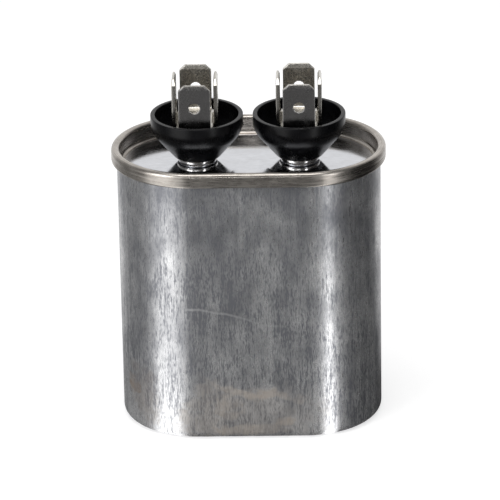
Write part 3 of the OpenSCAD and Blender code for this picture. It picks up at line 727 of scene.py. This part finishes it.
def stripLoop(across, steps):
    # Round the strip's section: how far each point lies out on the flat part (w, n) and on the
    # rounded edge (w, n). Outer face, right edge, inner face, left edge.
    wide = np.linspace(-1, 1, across + 1)
    turn = np.radians(np.linspace(0, 90, steps + 1)[1:-1])
    face = np.stack([wide, 0 * wide + 1, 0 * wide, 0 * wide + 1], -1)
    corner = np.stack([0 * turn + 1, 0 * turn + 1, np.sin(turn), np.cos(turn)], -1)
    right = np.concatenate([corner, [[1, 1, 1, 0]], [[1, -1, 1, 0]], corner[::-1] * [1, -1, 1, -1]])
    return np.concatenate([face, right, face[::-1] * [1, -1, 1, -1], right[::-1] * [-1, 1, -1, 1]])


def makeTerminal(name, node, shape):
    boxLow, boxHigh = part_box(node)
    tip, plateLow = boxHigh.z / mm, boxLow.z / mm
    centre = np.array([(boxLow.x + boxHigh.x) / 2 / mm, 0])
    half, thick, edge = shape["width"] / 2, shape["thickness"] / 2, shape["edge"]
    middle = shape["bend"] + thick             # radius of the bend at the middle of the strip
    bendZ = plateLow + thick + middle
    arc = middle * math.pi / 2
    total = arc + tip - bendZ
    loop = stripLoop(shape["across"], shape["round"])
    count, parts, faces = 0, [], []

    def add(points, quads):
        nonlocal count
        parts.append(points.reshape(-1, 3))
        faces.append(quads + count)
        count += parts[-1].shape[0]

    def rows(s, picked=slice(None)):
        # Strip rows at lengths s. The chamfer narrows the strip, coining thins it, and the last
        # rows turn round the edge of the tip.
        cut, coin = total - shape["chamfer"], total - shape["coinLength"]
        flatW = half - edge - np.clip(s - cut, 0, None)
        thin = (thick - shape["tipThickness"] / 2) * np.clip((s - coin) / shape["coinLength"], 0, 1)
        near = np.clip((s - (total - edge)) / edge, 0, 1)
        soft = edge * np.sqrt(1 - near * near)
        section = loop[picked]
        w = section[:, 0] * flatW[:, None] + section[:, 2] * soft[:, None]
        n = section[:, 1] * (thick - edge - thin)[:, None] + section[:, 3] * soft[:, None]
        return w, s[:, None] + 0 * w, n

    def fold(w, s, n, reach, angle):
        # The flat strip runs out, turns up round the bend and goes on upright. n is the way from
        # its middle towards the outer face.
        turn = np.clip(s / middle, 0, math.pi / 2)
        out = reach - middle + (middle + n) * np.sin(turn)
        z = bendZ - (middle + n) * np.cos(turn) + s - middle * turn
        c, d = math.cos(angle), math.sin(angle)
        return np.stack([centre[0] + c * out - d * w, centre[1] + d * out + c * w, z], -1)

    holeAt = total - shape["holeDrop"]
    zone = (holeAt - 2.4, total - shape["chamfer"] - 0.05)
    below = np.concatenate([np.linspace(0, arc, 13), np.linspace(arc, zone[0], 4)[1:]])
    beside = np.linspace(*zone, 17)
    crease, coin = total - shape["chamfer"], total - shape["coinLength"]
    rounding = total - edge + edge * np.sin(np.radians(np.linspace(0, 90, 5)))
    above = np.concatenate([[zone[1], crease, crease + 0.05, coin - 0.05, coin, coin + 0.05],
                            np.linspace(coin + 0.15, total - edge - 0.05, 4), rounding])
    across = shape["across"]
    side = len(loop) // 2 - across             # points of the right edge, with both its ends
    rightEdge = slice(across, across + side)
    leftEdge = np.r_[len(loop) // 2 + across:len(loop), 0]
    # Border of the face round the hole, and the hole's own circle with a point towards each
    flat = (half - edge) * np.linspace(-1, 1, across + 1)
    border = np.concatenate([np.stack([flat, 0 * flat + zone[0]], -1),
                             np.stack([0 * beside + flat[-1], beside], -1)[1:],
                             np.stack([flat[::-1], 0 * flat + zone[1]], -1)[1:],
                             np.stack([0 * beside + flat[0], beside[::-1]], -1)[1:-1]]) - [0, holeAt]
    toBorder = np.linalg.norm(border, axis=1)
    heading = border / toBorder[:, None]
    rim = shape["hole"] + shape["holeEdge"]
    radius = rim + np.linspace(0, 1, 8)[:, None] ** 1.4 * (toBorder - rim)
    wallTurn = np.radians(np.linspace(0, 90, 4))
    wall = np.stack([rim - shape["holeEdge"] * np.sin(wallTurn),
                     thick - shape["holeEdge"] * (1 - np.cos(wallTurn))], -1)
    wall = np.concatenate([wall, wall[::-1] * [1, -1]])
    for reach, angle in ((shape["sideGap"] / 2, 0), (shape["frontGap"] / 2, 90), (shape["sideGap"] / 2, 180),
                         (shape["frontGap"] / 2, 270)):
        turned = math.radians(angle)
        for lengths in (below, above):
            add(fold(*rows(lengths), reach, turned), gridQuads(len(lengths), len(loop)))
        for picked in (rightEdge, leftEdge):
            w, s, n = rows(beside, picked)
            add(fold(w, s, n, reach, turned), gridQuads(len(beside), w.shape[1], False))
        for outer in (1, -1):
            w, s = radius * heading[:, 0], holeAt + radius * heading[:, 1]
            add(fold(w, s, 0 * w + outer * thick, reach, turned), gridQuads(len(radius), len(border)))
        w, s = wall[:, :1] * heading[:, 0], holeAt + wall[:, :1] * heading[:, 1]
        add(fold(w, s, 0 * w + wall[:, 1:], reach, turned), gridQuads(len(wall), len(border)))
        for end in (below[:1], above[-1:]):
            w, s, n = rows(end)
            opposite = across + side - 1
            pairs = np.stack([np.r_[0:across + 1], np.r_[opposite + across:opposite - 1:-1]])
            add(fold(w[0, pairs], s[0, pairs], n[0, pairs], reach, turned), gridQuads(2, across + 1, False))

    # Base plate: rings between the rivet hole and a rounded rectangle, with its edge rounded over
    corner = shape["plateCorner"]
    turn = np.radians(np.linspace(0, 90, 9))
    quarters = np.concatenate([turn + math.radians(90 * k) for k in range(4)])
    normal = np.stack([np.cos(quarters), np.sin(quarters)], -1)
    middleTurn = np.repeat(np.radians([45, 135, 225, 315]), len(turn))
    sign = np.sign(np.stack([np.cos(middleTurn), np.sin(middleTurn)], -1))
    outline = sign * (np.array(shape["plateHalf"]) - corner) + corner * normal
    heading = outline / np.linalg.norm(outline, axis=1)[:, None]
    over = np.radians(np.linspace(0, 90, 5))
    topRows = [shape["plateHole"] * heading] + [outline - edge * (1 - math.sin(t)) * normal for t in over]
    topZs = [thick] + [thick - edge * (1 - math.cos(t)) for t in over]
    slab = np.array(topRows + topRows[::-1] + topRows[:1])
    levels = np.array(topZs + [-z for z in topZs[::-1]] + topZs[:1]) + plateLow + thick
    z = np.broadcast_to(levels[:, None, None], (*slab.shape[:2], 1))
    add(np.concatenate([slab + centre, z], -1), gridQuads(len(slab), len(outline)))
    piece = makePiece(name, np.concatenate(parts) * mm, np.concatenate(faces), None, 32)
    dress(piece, "terminal_tinned", node, tabTin)


makeCan(canShape)
makeCover(deckShape)
makeCup("leftCupShell", "left_cup", cupShape)
makeCup("rightCupShell", "right_cup", cupShape)
makeFootRing("leftFootRing", -cupX, ringShape)
makeFootRing("rightFootRing", cupX, ringShape)
makeRivet("leftRivetTurned", "left_rivet", rivetShape)
makeRivet("rightRivetTurned", "right_rivet", rivetShape)
makeTerminal("leftBladeStamping", "left_terminal", tabShape)
makeTerminal("rightBladeStamping", "right_terminal", tabShape)
print("pieces made")


# Floor, world, tent and lamps
studio = {"floorSize": 6, "floorColour": (0.72, 0.72, 0.72), "floorLift": 0.56, "worldLight": 0.42}


def seenDirectly(tree):
    # 1 for camera, glossy and transmission rays
    path = addNode(tree, "LightPath")
    seen = calc(tree, "MAXIMUM", path.outputs["Is Camera Ray"], path.outputs["Is Glossy Ray"])
    return calc(tree, "MAXIMUM", seen, path.outputs["Is Transmission Ray"])


def makeStudio(setup):
    half = setup["floorSize"] / 2
    mesh = bpy.data.meshes.new("floor")
    corners = [(-half, -half, 0), (half, -half, 0), (half, half, 0), (-half, half, 0)]
    mesh.from_pydata(corners, [], [(0, 1, 2, 3)])
    floor = bpy.data.objects.new("floor", mesh)
    bpy.context.scene.collection.objects.link(floor)
    material, tree, shader = newMaterial("paleFloor")
    connect(tree, shader, Base_Color=setup["floorColour"], Roughness=1.0, Specular_IOR_Level=0.0)
    shader.inputs["Emission Color"].default_value = (1, 1, 1, 1)
    connect(tree, shader, Emission_Strength=calc(tree, "MULTIPLY", seenDirectly(tree), setup["floorLift"]))
    mesh.materials.append(material)

    world = bpy.data.worlds.new("studio")
    bpy.context.scene.world = world
    world.use_nodes = True
    tree = world.node_tree
    tree.nodes.clear()
    strength = ramp(tree, seenDirectly(tree), 0.0, 1.0, setup["worldLight"])
    background = addNode(tree, "Background", {"Color": (1, 1, 1, 1), "Strength": strength})
    output = addNode(tree, "OutputWorld")
    tree.links.new(background.outputs[0], output.inputs["Surface"])


# Grey cards round the object, which only its reflections see: dark low down and in front,
# mid grey overhead, and open to the white backdrop behind
tent = {"radius": 0.7, "collar": -0.7, "lift": 0.0002, "floorTone": 0.19, "frontTone": 0.10,
        "leftTone": 0.28, "leftFloor": 0.24, "rightTone": 0.02, "topTone": 0.22, "backTone": 1.0, "around": 193,
        # Upright glows of the side softboxes: azimuth, half width, strength close to the can, far out
        # on the floor, and high up
        "glows": ((-44, 24, 1.9, 1.45, 1.3), (37.5, 8, 3.4, 1.7, 1.1))}


def makeTent(setup):
    az = np.radians(np.linspace(-180, 180, setup["around"]))[None]
    # The collar lies on the floor, from a stadium round the base out to the tent's circle
    run = np.linspace(0, 1, 18)[:-1, None]
    rise = np.radians(np.linspace(0, 89, 32))[:, None]
    out = np.stack([np.sin(az[0]), -np.cos(az[0])], -1)
    inner = exitDistance(np.zeros(2), out, canR + setup["collar"])[None] * mm
    r = np.concatenate([inner + (setup["radius"] - inner) * run ** 2,
                        setup["radius"] * np.cos(rise) + 0 * inner])
    z = np.concatenate([0 * run, setup["radius"] * np.sin(rise)]) + setup["lift"]
    el = np.degrees(np.concatenate([0 * run - 0.1, rise]))
    x, y = r * np.sin(az), -r * np.cos(az)
    # Tone by direction: the low tone runs into the top tone, and both into white behind
    behind = smooth(105, 150, np.abs(np.degrees(az)))
    left, right = smooth(50, 85, -np.degrees(az)), smooth(50, 75, np.degrees(az))
    low, floor = (setup[ahead] + (setup[aside] - setup[ahead]) * left + (setup["rightTone"] - setup[ahead]) * right
                  for ahead, aside in (("frontTone", "leftTone"), ("floorTone", "leftFloor")))
    tone = low + (setup["topTone"] - low) * smooth(25, 70, el)
    tone = np.where(el < 0, floor, tone)
    tone = tone + (setup["backTone"] - tone) * behind * smooth(75, 50, el)
    # A round end mirrors level light as if it came from halfway between its axis and its front
    focus = -canR * mm / 2
    for middle, half, close, distant, high in setup["glows"]:
        side = np.degrees(np.arctan2(x - math.copysign(halfStraight * mm, middle), focus - y))
        fade = close + (distant - close) * smooth(0.03, 0.12, r)
        fade = fade + (high - fade) * smooth(0, 30, el)
        tone = tone + fade * np.exp(-((side - middle) / half) ** 4) * smooth(60, 40, el)
    points = np.stack(np.broadcast_arrays(x, y, z), -1)
    mesh = bpy.data.meshes.new("tent")
    mesh.from_pydata(points.reshape(-1, 3).tolist(), [], gridQuads(len(r), setup["around"], False).tolist())
    attribute = mesh.attributes.new("tone", "FLOAT", "POINT")
    attribute.data.foreach_set("value", tone.astype(np.float32).ravel())
    cards = bpy.data.objects.new("tent", mesh)
    bpy.context.scene.collection.objects.link(cards)
    cards.visible_camera = cards.visible_diffuse = cards.visible_shadow = False
    material, tree, shader = newMaterial("greyCard")
    shader.inputs["Emission Color"].default_value = (1, 1, 1, 1)
    shader.inputs["Specular IOR Level"].default_value = 0.0
    connect(tree, shader, Base_Color=(0.0, 0.0, 0.0), Roughness=1.0,
            Emission_Strength=addNode(tree, "Attribute", attribute_name="tone").outputs["Fac"])
    mesh.materials.append(material)


# Softboxes: azimuth from the front (right positive), elevation, distance, width, height, power
lamps = {
    "leftBox": (-46, 24, 0.6, 0.26, 0.30, 0.8),
    "rightStrip": (39, 18, 0.6, 0.08, 0.26, 0.3),
    "frontBox": (-6, 19, 0.6, 0.22, 0.06, 0.15),
    "topBox": (-10, 78, 0.6, 0.4, 0.3, 1.2),
}


def makeLamp(name, azimuth, elevation, distance, width, height, power):
    az, el = math.radians(azimuth), math.radians(elevation)
    place = Vector((math.sin(az) * math.cos(el), -math.cos(az) * math.cos(el), math.sin(el))) * distance
    data = bpy.data.lights.new(name, "AREA")
    data.shape, data.size, data.size_y, data.energy = "RECTANGLE", width, height, power
    lamp = bpy.data.objects.new(name, data)
    bpy.context.scene.collection.objects.link(lamp)
    middle = Vector((0, 0, 0.035))
    lamp.location = middle + place
    lamp.rotation_mode = "QUATERNION"
    lamp.rotation_quaternion = (-place).to_track_quat("-Z", "Y")


makeStudio(studio)
makeTent(tent)
for lampName, values in lamps.items():
    makeLamp(lampName, *values)
bpy.context.scene.view_settings.view_transform = "Standard"
print("studio made")
